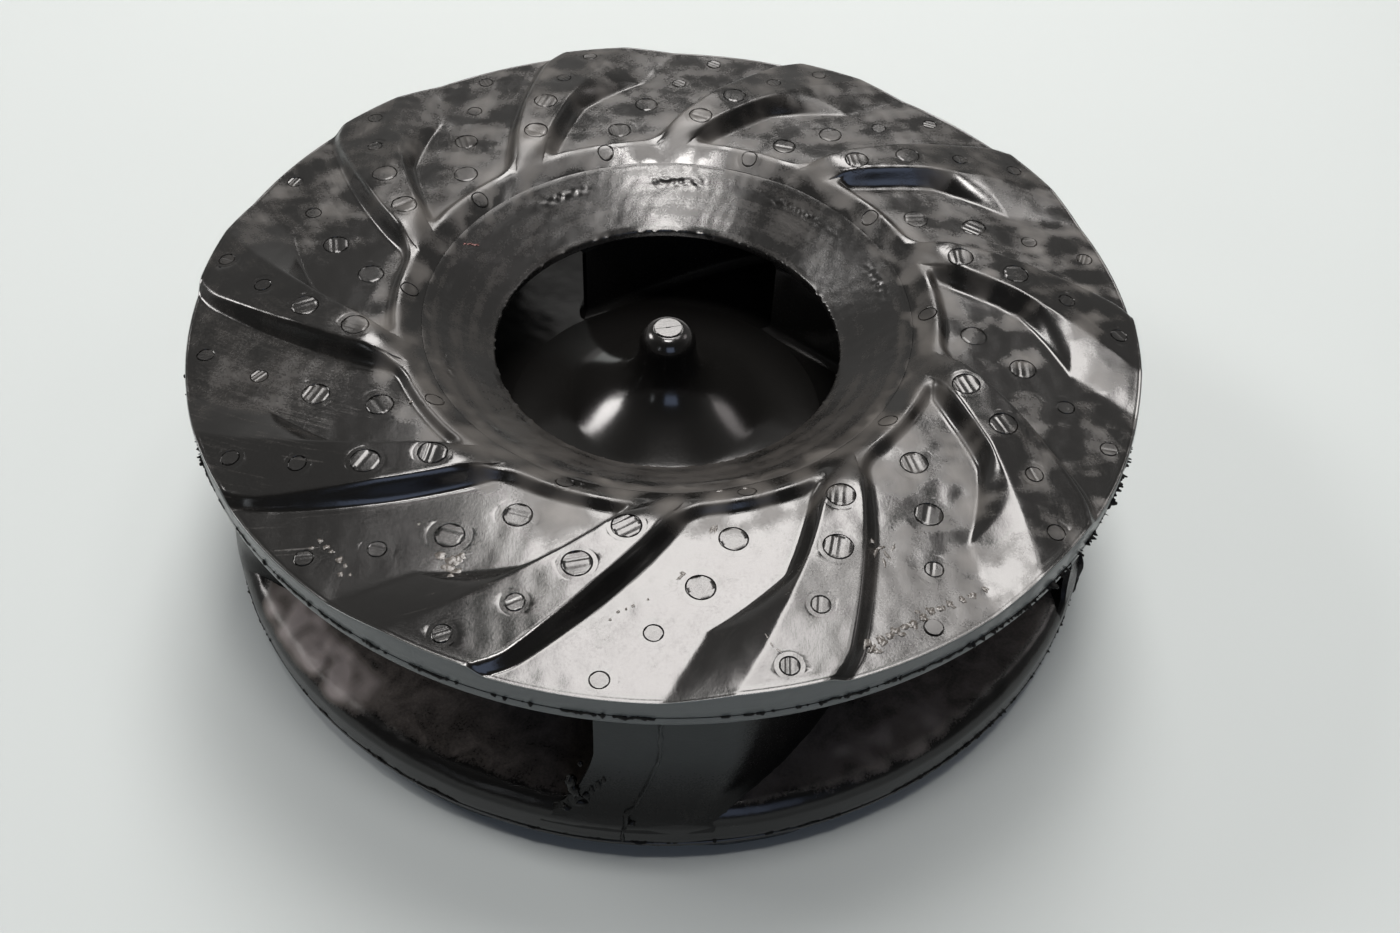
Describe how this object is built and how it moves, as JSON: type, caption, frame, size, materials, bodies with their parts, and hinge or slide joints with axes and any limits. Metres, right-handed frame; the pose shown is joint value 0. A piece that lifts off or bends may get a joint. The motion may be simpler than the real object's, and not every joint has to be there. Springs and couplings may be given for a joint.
{
  "type": "rubber slurry pump impeller",
  "caption": "Closed rubber impeller with a funnel-shaped eye, leaning expelling vanes on both faces, thick main vanes between two shrouds and a nose cone on the hub.",
  "frame": {"origin": "on the impeller's axis, in the plane of the rear vanes' crests and of the steel insert's rear face, on which it rests", "axes": "+Z along the axis towards the eye; -Y towards the outlet end of the first main vane"},
  "size_m": [0.45, 0.45, 0.1376],
  "materials": {
    "moulded_rubber": "satin",
    "insert_steel": "machined"
  },
  "bodies": {
    "root": {"front_shroud": "moulded_rubber", "back_shroud": "moulded_rubber", "hub_nose": "moulded_rubber", "shaft_insert": "insert_steel", "front_vane_1": "moulded_rubber", "front_vane_2": "moulded_rubber", "front_vane_3": "moulded_rubber", "front_vane_4": "moulded_rubber", "front_vane_5": "moulded_rubber", "front_vane_6": "moulded_rubber", "front_vane_7": "moulded_rubber", "front_vane_8": "moulded_rubber", "front_vane_9": "moulded_rubber", "front_vane_10": "moulded_rubber", "main_vane_1": "moulded_rubber", "main_vane_2": "moulded_rubber", "main_vane_3": "moulded_rubber", "main_vane_4": "moulded_rubber", "main_vane_5": "moulded_rubber", "rear_vane_1": "moulded_rubber", "rear_vane_2": "moulded_rubber", "rear_vane_3": "moulded_rubber", "rear_vane_4": "moulded_rubber", "rear_vane_5": "moulded_rubber", "rear_vane_6": "moulded_rubber", "rear_vane_7": "moulded_rubber", "rear_vane_8": "moulded_rubber", "rear_vane_9": "moulded_rubber", "rear_vane_10": "moulded_rubber"}
  },
  "joints": []
}
